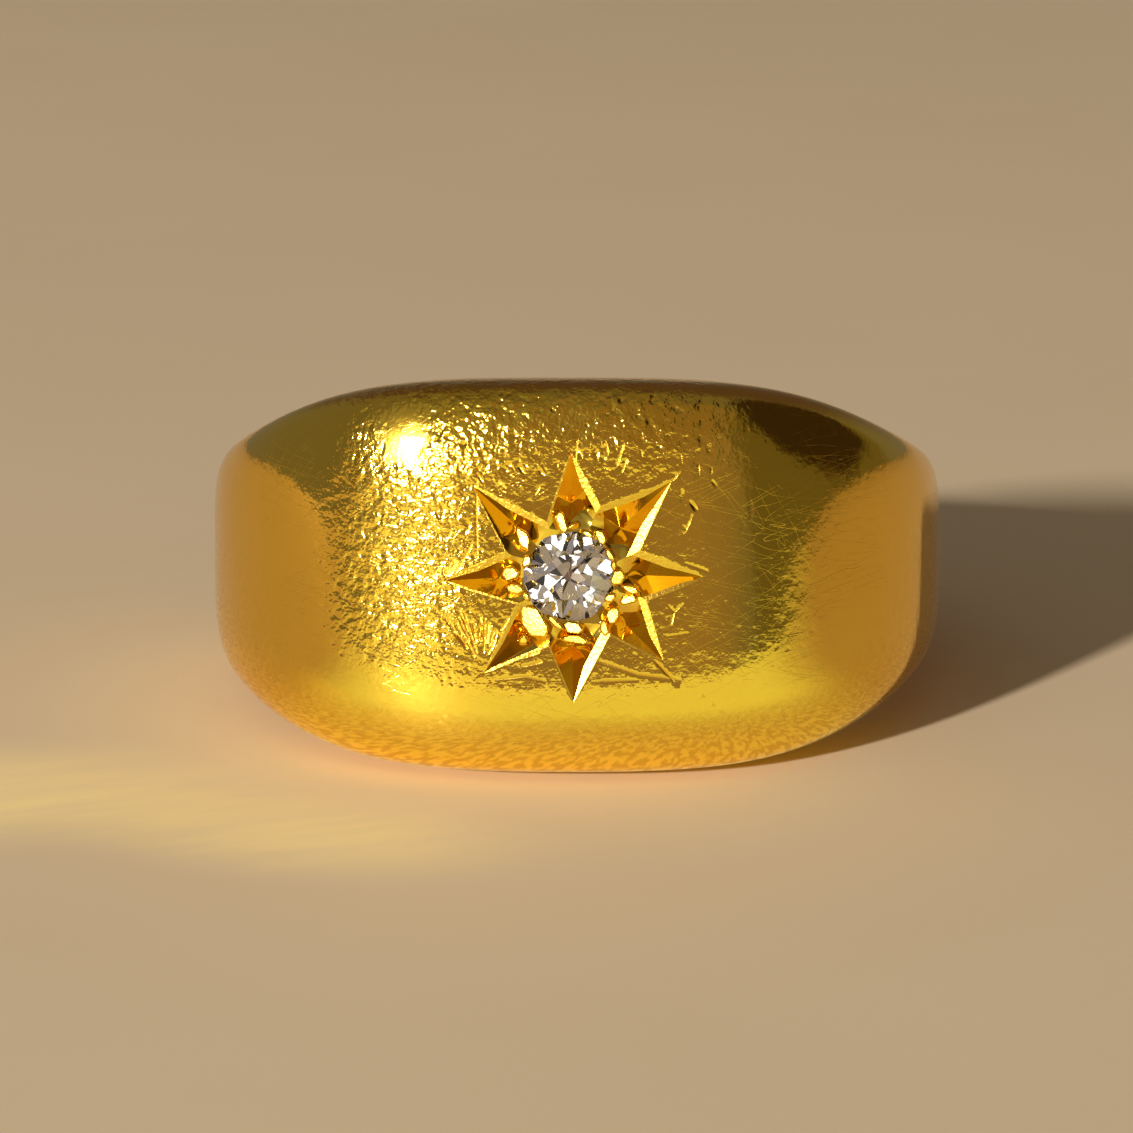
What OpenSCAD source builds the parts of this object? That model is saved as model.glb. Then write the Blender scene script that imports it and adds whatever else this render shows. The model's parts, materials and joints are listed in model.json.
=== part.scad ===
// A heavy gold signet ring with one old-cut diamond set in an engraved eight-ray star.
// It lies on its side as it rests by itself, with its face to -Y, tipped up by its own taper.
// Origin on the floor, at the middle of the resting ring. +Z is up. Millimetres.

/* [Show] */
// Piece to draw

/* [Band] */
// Radius of the finger hole
bore_r = 8.7; // [8.4:0.05:9]
// Outer width, side to side
ring_w = 21; // [20.6:0.1:22]
// Thickness of the gold at the middle of the head
head_t = 2.45; // [2.3:0.05:2.8]
// Thickness of the gold at the back of the band
back_t = 1.35; // [1.2:0.05:1.7]
// Length along the finger at the middle of the head
head_l = 10.76; // [9.6:0.1:12]
// Length along the finger at the back of the band
back_l = 4.36; // [3.6:0.1:5]
// Length that the plain band gains from the back to the front
taper_l = 2.08; // [1:0.1:2.6]
// Angle from the middle of the head where half its flare is gone
flare_a = 54; // [48:1:60]
// How suddenly the flare ends
flare_pow = 4.5; // [3:0.5:6]

/* [Rounding] */
// Squareness of the outline over the head, where 2 is an ellipse
head_square = 2.55; // [2:0.05:3]
// Squareness of the cross-section at the head
head_section = 4.9; // [3:0.1:6]
// Squareness of the cross-section at the back
back_section = 3.2; // [2.5:0.1:5]
// Width of the eased edge round the finger hole
ease_w = 0.22; // [0.1:0.02:0.4]
// Slope of the eased edge, in degrees from flat
ease_slope = 32; // [20:1:45]

/* [Star] */
// Star's middle, to the right of the middle of the head
star_x = 0.1; // [-0.3:0.05:0.3]
// Star's middle, above the middle of the head
star_z = 0.09; // [-0.3:0.05:0.3]
// Distance from the star's middle to the inner end of a ray
ray_in_r = 1.54; // [1.5:0.02:1.7]
// Depth of a ray, as a share of its half width
ray_steep = 0.82; // [0.5:0.02:1]
// Height of the grains' middles above the face
grain_up = 0.02; // [0:0.01:0.08]

/* [Stone] */
// Radius of the diamond at its girdle
stone_r = 1.25; // [1.1:0.05:1.3]
// Depth of the girdle's upper edge below the face
girdle_down = 0.32; // [0.3:0.02:0.4]
// Thickness of the girdle
girdle_t = 0.05; // [0.03:0.01:0.1]
// Height of the crown above the girdle
crown_h = 0.4; // [0.3:0.02:0.44]
// Depth of the pavilion below the girdle
pavilion_h = 1.06; // [0.9:0.02:1.1]
// Radius of the table's corners
table_r = 0.66; // [0.5:0.02:0.8]
// Radius of the blunt culet
culet_r = 0.07; // [0.04:0.01:0.1]
// Gap between the diamond and its seat
seat_gap = 0.03; // [0.02:0.01:0.06]
// Radius of the light hole drilled under the stone
light_r = 0.55; // [0.4:0.05:0.65]

/* [Hidden] */
gold = [0.86, 0.64, 0.2];
ice = [0.9, 0.92, 0.94];

// Sections round the ring, and points over each section
around = 96;
over = 16;
// Steps that a halving search takes
halvings = 26;

half_w = ring_w / 2;
front_y = bore_r + head_t;
back_y = bore_r + back_t;
rim_r = bore_r + ease_w;
inner_r = bore_r - 1;
inner_down = (rim_r - inner_r) * tan(ease_slope);
flare_l = head_l / 2 - back_l / 2 - taper_l / 2;

// Rays of the star: direction (0 is right, 90 is up), distance to the tip, and half width
// on the left and right side of the way out, where the ray is widest
rays = [
    [-0.3, 3.61, 0.70, 0.66],
    [43.1, 3.78, 0.78, 0.72],
    [89.2, 3.37, 0.45, 0.78],
    [136.7, 3.59, 0.58, 0.51],
    [182, 3.35, 0.50, 0.62],
    [228.6, 3.49, 0.71, 0.43],
    [271.9, 3.41, 0.82, 0.55],
    [318.1, 3.60, 0.90, 0.40]
];
ray_dir = 0;
ray_tip = 1;
ray_left = 2;
ray_right = 3;

// Stations of a ray: share of the way to the tip, share of its width, share of its depth
stations = [
    [0.00, 0.74, 0.80],
    [0.20, 1.00, 1.00],
    [0.52, 0.66, 0.64],
    [0.82, 0.26, 0.26],
    [1.00, 0.02, 0.02]
];
at_way = 0;
at_width = 1;
at_depth = 2;
ray_top = 0.6;
// The seat under the stone is a little steeper than the stone
seat_steeper = 1.05;

// Grains pushed over the stone's edge: direction, distance from the stone's middle, radius
grains = [
    [0, 1.42, 0.24],
    [52, 1.40, 0.22],
    [98, 1.45, 0.25],
    [139, 1.48, 0.27],
    [183, 1.47, 0.27],
    [228, 1.46, 0.29],
    [273, 1.42, 0.29],
    [319, 1.45, 0.25]
];

// A power curve that keeps the sign of its base, for the rounded outlines
function power(v, e) = sign(v) * pow(abs(v), e);

// How much of the head there is at an angle: 1 at its middle, 0 at the back
function headness(a) = let (c = (1 + cos(a)) / 2) c * c * (3 - 2 * c);
function squareness(a) = 2 + (head_square - 2) * headness(a);
function section_pow(a) = back_section + (head_section - back_section) * headness(a);
function depth_y(a) = back_y + (front_y - back_y) * headness(a);

// Outer radius at an angle, and half the length along the finger there
function outer_r(a) =
    let (m = squareness(a))
    pow(pow(abs(sin(a)) / half_w, m) + pow(abs(cos(a)) / depth_y(a), m), -1 / m);
function half_l(a) =
    back_l / 2 + taper_l / 2 * (1 + cos(a)) / 2
    + flare_l / (1 + pow(abs(a) / flare_a, flare_pow));

// A point on the outer skin, from one rim (t = 0) over the outside to the other (t = 180)
function skin(a, t) =
    let (
        e = 2 / section_pow(a),
        r = rim_r + (outer_r(a) - rim_r) * power(sin(t), e),
        z = half_l(a) * power(cos(t), e)
    )
    [r * sin(a), -r * cos(a), z];
// A point inside the finger hole, below a rim, so that the eased edge slopes to it
function inside(a, up) =
    [inner_r * sin(a), -inner_r * cos(a), up * (half_l(a) - inner_down)];

// Where the face of the head lies, as a distance from the finger's axis, by halving
function face_test(x, y, z) =
    let (a = atan2(x, y), n = section_pow(a), r = norm([x, y]))
    pow(abs(z) / half_l(a), n) + pow(max(r - rim_r, 0) / (outer_r(a) - rim_r), n);
function face_search(x, z, low, high, left) =
    let (mid = (low + high) / 2)
    left == 0 ? mid
    : face_test(x, mid, z) < 1 ? face_search(x, z, mid, high, left - 1)
    : face_search(x, z, low, mid, left - 1);
function face_y(x, z) = face_search(x, z, rim_r, front_y + 1, halvings);

turn = 360 / around;
lean = 180 / over;
grid = [for (i = [0 : around - 1]) [for (j = [0 : over]) skin(i * turn - 180, j * lean)]];

// How far the ring tips when it lies on its side, and how high and far back it then lies
function low_at(tip, side) =
    min([for (s = grid) for (p = s) if (p.y * side > 0) p.z * cos(tip) - p.y * sin(tip)]);
function tip_search(low, high, left) =
    let (mid = (low + high) / 2)
    left == 0 ? mid
    : low_at(mid, -1) < low_at(mid, 1) ? tip_search(mid, high, left - 1)
    : tip_search(low, mid, left - 1);
rest_tip = tip_search(0, 30, halvings);
rest_z = -min(low_at(rest_tip, -1), low_at(rest_tip, 1));
far_y = [for (s = grid) for (p = s) p.y * cos(rest_tip) + p.z * sin(rest_tip)];
rest_y = -(min(far_y) + max(far_y)) / 2;

module at_rest() {
    translate([0, rest_y, rest_z])
        rotate([-rest_tip, 0, 0])
            children();
}

// Moves a piece drawn on the floor, facing up, to the star's middle, facing out
module on_face() {
    translate([star_x, -face_y(star_x, star_z), star_z])
        rotate([90, 0, 0])
            children();
}

// The ring before the finger hole is bored: its skin, closed across the middle
module blank() {
    step = over + 3;
    rings = [for (i = [0 : around - 1])
        let (a = i * turn - 180)
        concat([inside(a, 1)], grid[i], [inside(a, -1)])];
    points = concat([for (r = rings) for (p = r) p], [[0, 0, 1], [0, 0, -1]]);
    top = around * step;
    bottom = top + 1;
    faces = [for (i = [0 : around - 1])
        let (k = (i + 1) % around)
        each concat(
            [for (j = [0 : step - 2])
                each [
                    [i * step + j, k * step + j, k * step + j + 1],
                    [i * step + j, k * step + j + 1, i * step + j + 1]
                ]],
            [[top, k * step, i * step], [bottom, i * step + step - 1, k * step + step - 1]]
        )];
    polyhedron(points, faces);
}

// One ray of the star: a V-groove with its edges on the face, from its inner end to its tip
module ray_cut(ray) {
    c = cos(ray[ray_dir]);
    s = sin(ray[ray_dir]);
    deep = (ray[ray_left] + ray[ray_right]) / 2 * ray_steep;
    // Each station has its left edge, its valley, its right edge and the two edges' tops
    rows = [for (st = stations)
        let (
            r = ray_in_r + (ray[ray_tip] - ray_in_r) * st[at_way],
            wl = ray[ray_left] * st[at_width],
            wr = ray[ray_right] * st[at_width],
            left = [star_x + r * c - wl * s, star_z + r * s + wl * c],
            mid = [star_x + r * c, star_z + r * s],
            right = [star_x + r * c + wr * s, star_z + r * s - wr * c],
            yl = face_y(left.x, left.y),
            ym = face_y(mid.x, mid.y),
            yr = face_y(right.x, right.y)
        )
        [
            [left.x, -yl, left.y],
            [mid.x, -ym + deep * st[at_depth], mid.y],
            [right.x, -yr, right.y],
            [right.x, -yr - ray_top, right.y],
            [left.x, -yl - ray_top, left.y]
        ]];
    last = len(stations) - 1;
    points = [for (r = rows) for (p = r) p];
    faces = concat(
        [for (i = [0 : last - 1]) for (j = [0 : 4])
            let (a = i * 5 + j, b = i * 5 + (j + 1) % 5)
            each [[a, b, b + 5], [a, b + 5, a + 5]]],
        [[4, 3, 2], [4, 2, 1], [4, 1, 0]],
        [for (j = [1 : 3]) [last * 5, last * 5 + j, last * 5 + j + 1]]
    );
    polyhedron(points, faces);
}

// The stone's seat, with the light hole through to the finger hole, on the floor facing up
module seat_cut() {
    wall = stone_r + seat_gap;
    under = -girdle_down - girdle_t - seat_gap;
    slope = seat_steeper * pavilion_h / (stone_r - culet_r);
    rotate_extrude($fn = 64)
        polygon([
            [0, ray_top],
            [wall, ray_top],
            [wall, under],
            [light_r, under - (wall - light_r) * slope],
            [light_r, -head_t - 1],
            [0, -head_t - 1]
        ]);
}

// Grains of gold raised at the inner ends of the rays, each lapping the stone's edge
module grain_beads() {
    for (g = grains)
        rotate([0, 0, g[0]])
            translate([g[1], 0, grain_up])
                sphere(r = g[2], $fn = 24);
}

module ring_body() {
    color(gold)
        at_rest()
            union() {
                difference() {
                    blank();
                    cylinder(r = bore_r, h = 2 * head_l, center = true, $fn = 180);
                    on_face() seat_cut();
                    for (r = rays) ray_cut(r);
                }
                on_face() grain_beads();
            }
}

// The diamond: an octagonal table, eight kites, and stars and halves between them
module diamond() {
    top_z = crown_h - girdle_down;
    upper_z = -girdle_down;
    lower_z = upper_z - girdle_t;
    culet_z = lower_z - pavilion_h;
    star_r = (table_r + stone_r) / 2 + 0.06;
    low_r = stone_r * 0.32;
    tight = cos(22.5);
    star_h = top_z + (star_r * tight - table_r) / (stone_r - table_r) * (upper_z - top_z);
    low_h = culet_z
        + (low_r * tight - culet_r) / (stone_r - culet_r) * (lower_z - culet_z);
    // Rings of corners, top to bottom: table, stars, girdle twice, lower halves, culet
    points = concat(
        [for (k = [0 : 7]) [table_r * cos(45 * k), table_r * sin(45 * k), top_z]],
        [for (k = [0 : 7]) [star_r * cos(45 * k + 22.5), star_r * sin(45 * k + 22.5), star_h]],
        [for (k = [0 : 15]) [stone_r * cos(22.5 * k), stone_r * sin(22.5 * k), upper_z]],
        [for (k = [0 : 15]) [stone_r * cos(22.5 * k), stone_r * sin(22.5 * k), lower_z]],
        [for (k = [0 : 7]) [low_r * cos(45 * k + 22.5), low_r * sin(45 * k + 22.5), low_h]],
        [for (k = [0 : 7]) [culet_r * cos(45 * k), culet_r * sin(45 * k), culet_z]]
    );
    stars = 8;
    upper = 16;
    lower = 32;
    lows = 48;
    culets = 56;
    faces = concat(
        [[for (k = [0 : 7]) 7 - k]],
        [[for (k = [0 : 7]) culets + k]],
        [for (k = [0 : 7])
            let (n = (k + 1) % 8, g = 2 * k, h = 2 * k + 1, i = (2 * k + 2) % 16)
            each [
                [k, n, stars + k],
                [k, stars + k, upper + g],
                [n, upper + i, stars + k],
                [stars + k, upper + h, upper + g],
                [stars + k, upper + i, upper + h],
                [upper + g, upper + h, lower + h],
                [upper + g, lower + h, lower + g],
                [upper + h, upper + i, lower + i],
                [upper + h, lower + i, lower + h],
                [lower + g, lower + h, lows + k],
                [lower + h, lower + i, lows + k],
                [lower + g, lows + k, culets + k],
                [lower + i, culets + n, lows + k],
                [lows + k, culets + n, culets + k]
            ]]
    );
    color(ice)
        at_rest()
            on_face()
                polyhedron(points, faces);
}

ring_body();
diamond();
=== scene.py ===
# A gold signet ring with one old-cut diamond in an eight-ray star, lying on its side.
# Sizes are millimetres on the ring's own axes: the finger's axis is z and the face looks
# to -y. at_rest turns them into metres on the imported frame.
import json
import math

import bmesh
import bpy
import numpy as np
from mathutils import Matrix, Vector, kdtree
from mathutils.geometry import delaunay_2d_cdt


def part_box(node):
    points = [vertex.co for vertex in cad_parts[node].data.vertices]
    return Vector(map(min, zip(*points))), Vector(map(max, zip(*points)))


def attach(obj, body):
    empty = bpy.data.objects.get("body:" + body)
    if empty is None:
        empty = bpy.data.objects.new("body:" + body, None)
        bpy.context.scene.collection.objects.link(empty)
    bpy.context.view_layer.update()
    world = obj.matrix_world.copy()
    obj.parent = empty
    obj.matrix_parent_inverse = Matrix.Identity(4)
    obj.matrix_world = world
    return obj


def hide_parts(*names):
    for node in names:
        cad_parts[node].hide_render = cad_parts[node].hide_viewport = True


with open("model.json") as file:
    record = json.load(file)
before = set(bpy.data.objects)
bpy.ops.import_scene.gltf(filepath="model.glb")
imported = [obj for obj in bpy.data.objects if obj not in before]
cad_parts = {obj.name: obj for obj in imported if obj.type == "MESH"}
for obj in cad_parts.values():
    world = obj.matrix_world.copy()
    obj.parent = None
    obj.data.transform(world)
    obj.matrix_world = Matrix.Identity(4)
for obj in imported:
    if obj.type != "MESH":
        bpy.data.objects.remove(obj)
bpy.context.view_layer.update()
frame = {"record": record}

# Band and head
# The ring is one casting of 18 carat yellow gold. A plain band tapers to the back and flares
# into a broad head, and years of wear have left its skin slightly uneven.
MM = 0.001
finger_hole = next(m for m in frame["record"]["mounts"] if m["name"] == "finger_hole")
tip = math.atan2(finger_hole["axis"][1], finger_hole["axis"][2])
at_rest = (Matrix.Translation(finger_hole["pos_m"])
           @ Matrix.Rotation(-tip, 4, "X") @ Matrix.Scale(MM, 4))

bore_r = finger_hole["dims"]["r_mm"]
ring_low, ring_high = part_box("ring_body")
half_w = (ring_high.x - ring_low.x) / 2 / MM
head_t, back_t = 2.45, 1.35
head_l, back_l, taper_l = 10.76, 4.36, 2.08
flare_angle, flare_power = math.radians(54), 4.5
head_square, head_section, back_section = 2.55, 4.9, 3.2
ease_w, ease_h = 0.22, 0.14

rim_r = bore_r + ease_w
front_y, back_y = bore_r + head_t, bore_r + back_t
flare_l = head_l / 2 - back_l / 2 - taper_l / 2

columns, rows = 360, 80
corner_share = 0.7
section_steps = 1441
worn_depth, worn_length = 0.012, 3.2


def headness(angle):
    """How much of the head there is at an angle: 1 at its middle, 0 at the back."""
    c = (1 + np.cos(angle)) / 2
    return c * c * (3 - 2 * c)


def section_power(angle):
    return back_section + (head_section - back_section) * headness(angle)


def outer_r(angle):
    m = 2 + (head_square - 2) * headness(angle)
    depth = back_y + (front_y - back_y) * headness(angle)
    return ((np.abs(np.sin(angle)) / half_w) ** m + (np.abs(np.cos(angle)) / depth) ** m) ** (-1 / m)


def half_length(angle):
    """Half the ring's length along the finger at an angle."""
    flare = flare_l / (1 + (np.abs(angle) / flare_angle) ** flare_power)
    return back_l / 2 + taper_l / 2 * (1 + np.cos(angle)) / 2 + flare


def unevenness(points, length, seed):
    """A smooth random height from -1 to 1 at each point, with waves about so long."""
    draw = np.random.default_rng(seed)
    total = np.zeros(len(points))
    waves = 12
    for _ in range(waves):
        way = draw.normal(size=3)
        way *= 2 * math.pi / length * draw.uniform(0.6, 1.5) / np.linalg.norm(way)
        total += np.sin(points @ way + draw.uniform(0, 2 * math.pi))
    return total / math.sqrt(waves)


def worn(points):
    """How far wear has taken the skin in, which is nowhere outside the cast shape."""
    return worn_depth * (1 + unevenness(points, worn_length, 5).clip(-1, 1)) / 2


def section(angle):
    """The skin's points at an angle, from rim to rim, closer together round its corners."""
    n = section_power(angle)
    way = np.linspace(0, math.pi, section_steps)
    k = (np.abs(np.cos(way)) ** n + np.abs(np.sin(way)) ** n) ** (-1 / n)
    r = rim_r + (outer_r(angle) - rim_r) * k * np.sin(way)
    z = half_length(angle) * k * np.cos(way)
    dr, dz = np.diff(r), np.diff(z)
    turn = np.abs(np.diff(np.unwrap(np.arctan2(dr, dz)), prepend=np.arctan2(dr[0], dz[0])))
    turn[0] = 0
    run = np.concatenate([[0], np.cumsum(np.hypot(dr, dz) + corner_share * turn)])
    even = np.linspace(0, run[-1], rows)
    r, z = np.interp(even, run, r), np.interp(even, run, z)
    return np.stack([r * math.sin(angle), -r * math.cos(angle), z], 1)


angles = (np.arange(columns) - columns // 2) * (2 * math.pi / columns)
skin = np.stack([section(a) for a in angles])
radial = skin * (1, 1, 0)
radial /= np.linalg.norm(radial, axis=2, keepdims=True)
skin -= radial * worn(skin.reshape(-1, 3)).reshape(columns, rows, 1)


def face_y(x, z):
    """How far the head's skin lies in front of the finger's axis at a place on the face."""
    low, high = np.full(len(x), rim_r - 1), np.full(len(x), front_y + 1)
    for _ in range(40):
        y = (low + high) / 2
        a, n = np.arctan2(x, y), section_power(np.arctan2(x, y))
        over = ((np.abs(z) / half_length(a)) ** n
                + (np.maximum(np.hypot(x, y) - rim_r, 0) / (outer_r(a) - rim_r)) ** n)
        low, high = np.where(over < 1, y, low), np.where(over < 1, high, y)
    return y


# Engraved star
# Eight rays are cut into the face round the stone with a graver. Each is a V-groove with
# uneven sides that runs out to a point, and neighbours meet in sharp ridges near the stone.
star_x, star_z = 0.1, 0.09
# Direction in degrees (0 is right, 90 is up), distance to the point, half width on the left
# and the right side of the way out, width of the bevel along each of those sides, how steep
# the bevels are, how bowed the sides are, where the floor is deepest
ray_table = [
    (-0.3, 3.61, 0.70, 0.66, 0.21, 0.13, 0.28, 1.18, 2.05),
    (43.1, 3.78, 0.78, 0.72, 0.17, 0.25, 0.42, 1.02, 1.85),
    (89.2, 3.37, 0.45, 0.78, 0.04, 0.21, 0.26, 1.05, 1.97),
    (136.7, 3.59, 0.58, 0.51, 0.03, 0.17, 0.28, 1.06, 2.05),
    (182, 3.35, 0.50, 0.62, 0.04, 0.20, 0.24, 1.15, 1.91),
    (228.6, 3.49, 0.71, 0.43, 0.07, 0.13, 0.28, 1.04, 1.92),
    (271.9, 3.41, 0.82, 0.55, 0.26, 0.03, 0.33, 1.02, 1.92),
    (318.1, 3.42, 0.90, 0.40, 0.22, 0.05, 0.30, 1.06, 2.05),
]
width_at = 2.0
ray_steep = 0.50
rim_depth = 0.22
rim_at = 1.3
ray_start = 0.8
bevel_share, bevel_deepest = 0.45, 0.5
edge_w = 0.016


class Ray:
    """One graver cut of the star."""

    def __init__(self, direction, point, left, right, left_bevel, right_bevel, slope, bow, deepest):
        turn = math.radians(direction)
        self.out = np.array([math.cos(turn), math.sin(turn)])
        self.across = np.array([-self.out[1], self.out[0]])
        self.direction, self.point, self.deepest = turn, point, deepest
        self.left, self.right, self.bow = left, right, bow
        self.left_bevel, self.right_bevel, self.slope = left_bevel, right_bevel, slope

    def width(self, u, left):
        """Half width on one side, so far out from the star's middle."""
        reach = np.clip((self.point - u) / (self.point - width_at), 0, None)
        return np.where(left, self.left, self.right) * reach ** (1 / self.bow)

    def bevel(self, u, left):
        """Width of the bevel along one side, so far out, narrowing to the ray's point."""
        wide = np.where(left, self.left_bevel, self.right_bevel)
        return np.minimum(wide, bevel_share * self.width(u, left))

    def floor(self, u):
        """Depth of the groove's floor, which rises again towards the stone."""
        full = ray_steep * (self.left + self.right) / (self.point - width_at)
        inward = (self.deepest - u) / (self.deepest - rim_at)
        deepest = full * (self.point - self.deepest)
        rising = deepest + (rim_depth - deepest) * np.clip(inward, 0, 1)
        return np.where(u < self.deepest, rising, full * (self.point - u))

    def depth(self, places):
        """Depth of this cut at places on the face, below zero outside it."""
        u, v = places @ self.out, places @ self.across
        width = np.maximum(self.width(u, v > 0), 1e-6)
        bevel = self.bevel(u, v > 0)
        under = width - np.abs(v)
        wall = (under - bevel) / np.maximum(width - bevel, 1e-6)
        shallow = np.minimum(bevel * self.slope, bevel_deepest * self.floor(u))
        cut = np.where(under < bevel, under * shallow / np.maximum(bevel, 1e-6),
                       shallow + (self.floor(u) - shallow) * wall)
        return np.where((u > ray_start) & (u < self.point), cut, -1)

    def on_bevel(self, places):
        """Whether places on the face lie on one of the cut's bevels."""
        u, v = places @ self.out, places @ self.across
        under = self.width(u, v > 0) - np.abs(v)
        deepest = self.depth(places) > ray_depth(places) - 1e-6
        return (u > rim_at) & (under > -edge_w) & (under < self.bevel(u, v > 0)) & deepest

    def place(self, u, v):
        """Places on the face, so far out along the ray and so far to its left."""
        return np.outer(u, self.out) + np.outer(v, self.across)


rays = [Ray(*row) for row in ray_table]


def ray_depth(places):
    return np.max([ray.depth(places) for ray in rays], axis=0)


# Grains
# Little lumps of the head's own gold, raised by the graver at the inner end of each ray and
# pushed over the stone's edge to hold it.

# Place right and up of the stone's middle, half length, half width, turn, height of the top
grain_table = [
    (1.32, -0.02, 0.27, 0.22, 60, 0.05),
    (1.66, -0.33, 0.32, 0.13, -24, 0.00),
    (1.60, -0.62, 0.27, 0.17, 12, -0.02),
    (1.10, -0.56, 0.20, 0.15, 10, 0.01),
    (0.86, 1.10, 0.27, 0.17, -62, 0.04),
    (-0.20, 1.49, 0.35, 0.17, 105, 0.04),
    (-1.24, 1.05, 0.40, 0.19, 112, 0.06),
    (-1.14, 0.42, 0.22, 0.15, 70, 0.00),
    (-1.60, 0.10, 0.28, 0.22, 10, 0.04),
    (-1.47, -0.31, 0.30, 0.17, 170, 0.03),
    (-0.95, -1.22, 0.55, 0.36, 122, 0.05),
    (-1.24, -1.72, 0.20, 0.15, 60, -0.16),
    (0.10, -1.37, 0.32, 0.21, -12, 0.06),
    (0.14, -1.70, 0.46, 0.15, -4, -0.01),
    (1.19, -1.04, 0.28, 0.21, 70, 0.05),
    (0.95, -1.38, 0.26, 0.14, 100, 0.02),
    (-0.36, -1.25, 0.34, 0.12, -42, 0.05),
    (1.11, 0.60, 0.23, 0.12, -60, 0.03),
    (0.50, 1.17, 0.25, 0.10, -22, 0.03),
    (0.08, 1.39, 0.26, 0.07, 32, 0.02),
    (1.20, 0.30, 0.16, 0.11, 80, 0.02),
    (-1.14, -0.53, 0.17, 0.11, -64, 0.02),
]
grain_root = 0.32
grain_edge, grain_edge_share = 0.04, 0.55
grain_corners, corner_stray = 6, 0.25
grain_crown = 0.10
grain_lean = (0.27, -0.12)
grain_unlike = 0.10
grain_soft = 0.015
grain_seed = 40


class Grain:
    """One raised lump: an uneven outline, a nearly flat top left by the tool, and rounded edges."""

    def __init__(self, x, z, length, width, turn, top, seed):
        turn = math.radians(turn)
        draw = np.random.default_rng(seed)
        self.middle, self.top = np.array([x, z]), top
        ways = np.arange(grain_corners) + draw.uniform(-corner_stray, corner_stray, grain_corners)
        ways *= 2 * math.pi / grain_corners
        spin = np.array([[math.cos(turn), math.sin(turn)], [-math.sin(turn), math.cos(turn)]])
        self.corners = np.stack([np.cos(ways), np.sin(ways)], 1) * (length, width) @ spin
        side = np.roll(self.corners, -1, axis=0) - self.corners
        self.inward = np.stack([-side[:, 1], side[:, 0]], 1)
        self.inward /= np.linalg.norm(self.inward, axis=1)[:, None]
        self.lean = np.array(grain_lean) + draw.normal(0, grain_unlike, 2)
        self.edge = min(grain_edge, grain_edge_share * width)

    def inside(self, places):
        """How far inside the outline a place lies, with its corners rounded off."""
        away = [(places - self.middle - c) @ n for c, n in zip(self.corners, self.inward)]
        return -grain_soft * np.log(np.sum([np.exp(-a / grain_soft) for a in away], axis=0))

    def height(self, places):
        inside = self.inside(places)
        in_edge = (1 - inside / self.edge).clip(0, 1)
        off = places - self.middle
        top = self.top + off @ self.lean - grain_crown * (off ** 2).sum(1)
        dome = top - (self.top + grain_root) * (1 - np.sqrt(1 - in_edge ** 2))
        return np.where(inside > 0, dome, -9)

    def outline(self, share):
        """A line round the lump at a share of its rounded edge's width from the outside."""
        ways = np.linspace(0, 2 * math.pi, 61)
        out = np.stack([np.cos(ways), np.sin(ways)], 1)
        low, high = np.zeros(len(ways)), np.full(len(ways), 1.2)
        for _ in range(30):
            r = (low + high) / 2
            inner = self.inside(self.middle + out * r[:, None]) > share * self.edge
            low, high = np.where(inner, r, low), np.where(inner, high, r)
        return self.middle + out * r[:, None]


grains = [Grain(*row, seed=grain_seed + k) for k, row in enumerate(grain_table)]


def grain_height(places):
    return np.max([grain.height(places) for grain in grains], axis=0)


# Wear on the face
# Slips of the graver between the rays, with later scratches and a few nicks from wear. All
# are shallow cuts in the head's own gold, which fade out at both ends.

# Points along each scratch right and up of the star's middle, its half width and its depth
scratch_table = [
    ([(0.78, -2.26), (1.85, -2.66), (3.05, -2.82)], 0.045, 0.022),
    ([(0.58, -2.84), (1.90, -2.80)], 0.022, 0.010),
    ([(2.66, -0.74), (2.84, -0.97), (3.12, -0.70)], 0.022, 0.012),
    ([(2.84, -0.97), (2.76, -1.36)], 0.022, 0.012),
    ([(2.62, -1.62), (3.26, -1.53)], 0.020, 0.010),
    ([(2.76, 2.56), (3.02, 2.86)], 0.030, 0.016),
    ([(3.10, 0.38), (3.78, 0.12)], 0.022, 0.012),
    ([(-2.46, 2.84), (-2.50, 1.70), (-2.48, 0.54)], 0.024, 0.014),
    ([(-3.40, 0.02), (-3.00, 0.42)], 0.110, 0.030),
    ([(0.98, 3.70), (1.06, 3.30)], 0.040, 0.012),
    ([(1.94, 3.44), (1.98, 3.24)], 0.024, 0.010),
    ([(3.50, 3.10), (3.52, 2.70)], 0.026, 0.010),
    ([(3.86, 2.96), (3.84, 2.74)], 0.024, 0.010),
    ([(3.02, 3.30), (3.06, 3.02)], 0.022, 0.008),
    ([(0.96, 2.96), (1.12, 2.90)], 0.034, 0.010),
    ([(3.06, 1.42), (3.16, 1.26)], 0.050, 0.012),
    ([(-1.92, 2.62), (-1.70, 2.40)], 0.030, 0.010),
    ([(-0.92, 2.20), (-0.78, 2.44)], 0.026, 0.010),
    ([(-2.26, -2.52), (-1.50, -2.22), (-0.78, -2.02)], 0.060, 0.026),
    ([(-2.00, -2.80), (-1.20, -2.70), (-0.60, -2.84)], 0.026, 0.012),
    ([(-1.30, -2.44), (-0.70, -2.30)], 0.026, 0.014),
    ([(2.28, -2.24), (2.86, -2.88)], 0.028, 0.030),
    ([(0.18, 3.16), (0.23, 3.72)], 0.030, 0.014),
    ([(1.28, 2.98), (1.48, 3.58)], 0.040, 0.016),
    ([(1.42, 2.80), (1.58, 3.24)], 0.026, 0.012),
    ([(-3.10, 0.06), (-2.60, 0.92)], 0.034, 0.018),
    ([(3.10, 1.10), (3.36, 1.72)], 0.024, 0.010),
]
slips = 22
slip_root = (-2.40, -2.55)
slip_spread = math.radians(62), math.radians(124)
slip_start, slip_length, slip_stray = (0.35, 1.25), (0.35, 0.75), 0.04
slip_half, slip_depth = (0.022, 0.044), (0.018, 0.036)


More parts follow.
